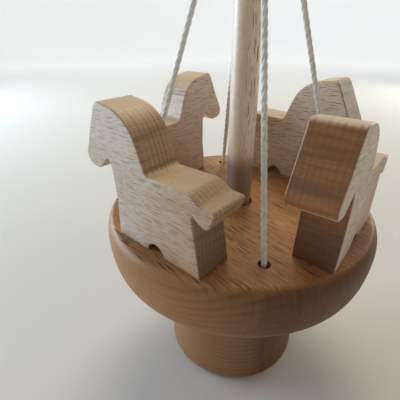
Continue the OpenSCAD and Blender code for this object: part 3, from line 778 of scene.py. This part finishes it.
# End grain of each horse, and how far its growth rings show. The tones differ partly as painted light: the
# second horse's pale ends are painted light, the fourth's dark ends painted shade.
HORSE_ENDS = (
    (rgb(182, 148, 110), 0.6),
    (rgb(232, 212, 192), 0.3),
    (rgb(174, 140, 104), 0.5),
    (rgb(158, 100, 48), 0.6),
)
# Horse wood: the sides are painted paler towards the head, a painted sheen; the end grain gets painted shade
# towards the feet and painted light higher up, between 4 and 26 mm above the sole
horse_beeches = [
    beech(f"horse_beech_{i + 1}", GRAIN_X_BARK_Y, grain_axis=(1, 0, 0), across_axis=(0, 0, 1),
          seed=3.0 + 5.3 * i, pale=HORSE_PALE, warm=HORSE_WARM, end=end, flank=HORSE_GOLD, ring_end=ring_end,
          lustre=0.75, painted_sheen_axis=(1, 0, 0), shade=(4, 26, 0.5, 1.12, 0.0))
    for i, (end, ring_end) in enumerate(HORSE_ENDS)
]
PLATFORM_GRAIN = math.radians(10)
# The platform's dark end grain round its rim is partly the wood's own tone and partly painted shade.
platform_beech = beech(
    "platform_beech", GRAIN_X_BARK_Z, grain_axis=(math.cos(PLATFORM_GRAIN), -math.sin(PLATFORM_GRAIN), 0),
    across_axis=(math.sin(PLATFORM_GRAIN), math.cos(PLATFORM_GRAIN), 0), seed=2.2,
    pale=rgb(202, 152, 102), warm=rgb(176, 120, 70), end=rgb(110, 72, 42), flank=rgb(170, 122, 76),
    ring_gap=3.0, ring_bend=0.004, ring_wave=1.5, ring_side=0.05, ring_end=0.5,
    ray=(9.5, 1.9, 4.3, 0.3), ray_dark=1.0, fine_ray=(4.4, 0.95, 1.8, 0.14), fine_dark=0.7, ray_end=0.3,
    lustre=0.35, spin=PLATFORM_GRAIN)
# The post's wood, also used for the ball and the horses' dowels, gets painted shade below 15 mm above the
# platform and painted light from 23 mm up; its pale, greyish tones are partly a painted sheen.
post_beech = beech(
    "post_beech", GRAIN_Z_BARK_X, grain_axis=(0, 0, 1), across_axis=(0, 1, 0), seed=8.1,
    pale=rgb(234, 224, 212), warm=rgb(214, 190, 166), end=rgb(174, 140, 104), flank=rgb(206, 174, 142),
    ray=(9.0, 1.3, 3.6, 0.24), ray_dark=1.0, fine_ray=(4.0, 0.7, 1.6, 0.13), fine_dark=0.7,
    lustre=1.0, coat=1.0, shade=(PLATFORM_TOP + 15, PLATFORM_TOP + 23, 0.34, 1.25, 1.0))
drum_beech = beech(
    "drum_beech", GRAIN_X_BARK_Z, grain_axis=(1, 0, 0), across_axis=(0, 1, 0), seed=5.5,
    pale=rgb(184, 142, 100), warm=rgb(160, 114, 74), end=rgb(120, 84, 52), flank=rgb(162, 118, 78),
    ring_gap=2.8, ray=(6.5, 1.6, 2.4, 0.16), ray_dark=0.6, ray_end=0.35, lustre=0.3)
brass = metal("brass", rgb(206, 168, 92), 0.28)
steel = metal("steel", rgb(176, 178, 182), 0.3, brushed=(1.0, 0.2, 1.0))
zinc = zinc_casting("zinc")
felt = felt_wool("felt")
cotton = cotton_yarn("cotton")

# Materials of the frame's own pieces
NODE_MATERIALS = {
    drum_beech: ("base_drum", "bottom_plate"),
    post_beech: ("horse_dowels",),
    brass: ("bottom_screws", "arbor_bush", "spring_barrel", "drive_gear", "music_cylinder", "cylinder_pinion",
            "cylinder_gear", "worm_wheel", "fly_vane"),
    steel: ("thrust_washer", "movement_screws", "mainspring", "comb", "comb_screws", "governor_screws",
            "winding_arbor", "arbor_clip", "cylinder_shaft", "idler_arbor", "idler_pinion", "fly_shaft",
            "governor_worm"),
    zinc: ("movement_frame", "governor_bracket"),
}
for material, names in NODE_MATERIALS.items():
    for name in names:
        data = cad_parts[name].data
        data.materials.clear()
        data.materials.append(material)

for i, material in enumerate(horse_beeches):
    horse(i, material)
make_platform(platform_beech)
make_cap(drum_beech)
make_finial(post_beech)
make_post(post_beech)
make_felt(felt)
for i in range(4):
    cord(i, cotton)
knots("knots_below", "platform_knots", CORD_RING_R, PLATFORM_BOTTOM, False, cotton)
knots("knots_above", "cap_knots", CAP_RING_R, CAP_TOP, True, cotton)


# ---------- floor, backdrop and light ----------

# The floor and wall glow, as painted light of a bright room, strongest in this direction.
ROOM_AT = 130                 # where the bright room lies, in degrees from +X
ROOM_GLOW_COLOUR = (0.96, 0.99, 1.0, 1.0)
FLOOR_R = 1400
BEND_R = 500
WALL = 900
LIGHT_DISTANCE = 0.9          # metres


def glowing_paper(glow_round, glow_behind):
    """Pale paper that glows, as painted light of a bright room: the glow rises away from the object and is
    strongest behind it.
    """
    g = Graph("glowing_paper")
    place = g.node("ShaderNodeTexCoord").outputs["Object"]
    cloud = g.noise(place, 3.0, 2.0)
    shade = g.mix(g.ramp(cloud, 0.3, 0.7), rgb(236, 235, 232), rgb(240, 239, 237))
    flat = g.vector("MULTIPLY", place, (1.0, 1.0, 0.0))
    far = g.ramp(g.vector("LENGTH", flat), 0.15, 1.5)
    ahead = g.vector("DOT_PRODUCT", g.vector("NORMALIZE", flat), ring_point(1, math.radians(ROOM_AT)))
    behind = g.ramp(ahead, 0.1, 0.9, glow_round, glow_round + glow_behind)
    # painted glow: none near the object, growing far out, strongest towards the room
    glow = g.math("MULTIPLY", far, behind)
    return g.surface(Base_Color=shade, Roughness=0.8, Emission_Color=ROOM_GLOW_COLOUR, Emission_Strength=glow)


def sweep(material):
    """A round floor that curves up into a wall on all sides."""
    profile = [(FLOOR_R / 2, 0)] + arc((FLOOR_R, BEND_R), BEND_R, BEND_R, -90, 0, 16) \
        + [(FLOOR_R + BEND_R, BEND_R + WALL)]
    steps = 72
    points, faces = [(0, 0, 0)], []
    for p in profile:
        points += turned_ring(p[0], p[1], steps)
    for r in range(len(profile)):
        for j in range(steps):
            k = (j + 1) % steps
            if r == 0:
                faces.append((0, 1 + j, 1 + k))
            else:
                a, b = 1 + (r - 1) * steps, 1 + r * steps
                faces.append((a + j, b + j, b + k, a + k))
    made = from_lists("sweep", points, faces, material)


def softbox(name, azimuth, elevation, width, height, power, colour):
    """An area light that faces the platform. Azimuth is in degrees from +X."""
    lamp = bpy.data.lights.new(name, "AREA")
    lamp.shape = "RECTANGLE"
    lamp.size, lamp.size_y = width, height
    lamp.energy = power
    lamp.color = colour
    a, e = math.radians(azimuth), math.radians(elevation)
    away = ring_point(math.cos(e), a, math.sin(e))
    made = bpy.data.objects.new(name, lamp)
    bpy.context.scene.collection.objects.link(made)
    made.location = Vector((0, 0, PLATFORM_TOP * MM)) + away * LIGHT_DISTANCE
    made.rotation_euler = away.to_track_quat("Z", "Y").to_euler()
    made.visible_camera = False


def dim_world():
    world = bpy.data.worlds.new("world")
    bpy.context.scene.world = world
    world.use_nodes = True
    background = world.node_tree.nodes["Background"].inputs
    background["Color"].default_value = (0.93, 0.97, 1.0, 1.0)
    background["Strength"].default_value = 0.01


# The floor and wall glow, as painted light of a bright room.
sweep(glowing_paper(glow_round=0.08, glow_behind=0.46))
dim_world()
softbox("window", 202, 9, 0.66, 0.3, 6.9, (0.68, 0.84, 1.0))
softbox("high_window", 125, 56, 0.4, 0.4, 2.9, (1.0, 0.88, 0.66))
softbox("pale_wall", 80, 9, 0.34, 0.3, 1.2, (0.95, 1.0, 0.9))
softbox("warm_fill", 20, 45, 0.34, 0.3, 0.6, (1.0, 0.6, 0.3))
bpy.context.scene.view_settings.view_transform = "Standard"
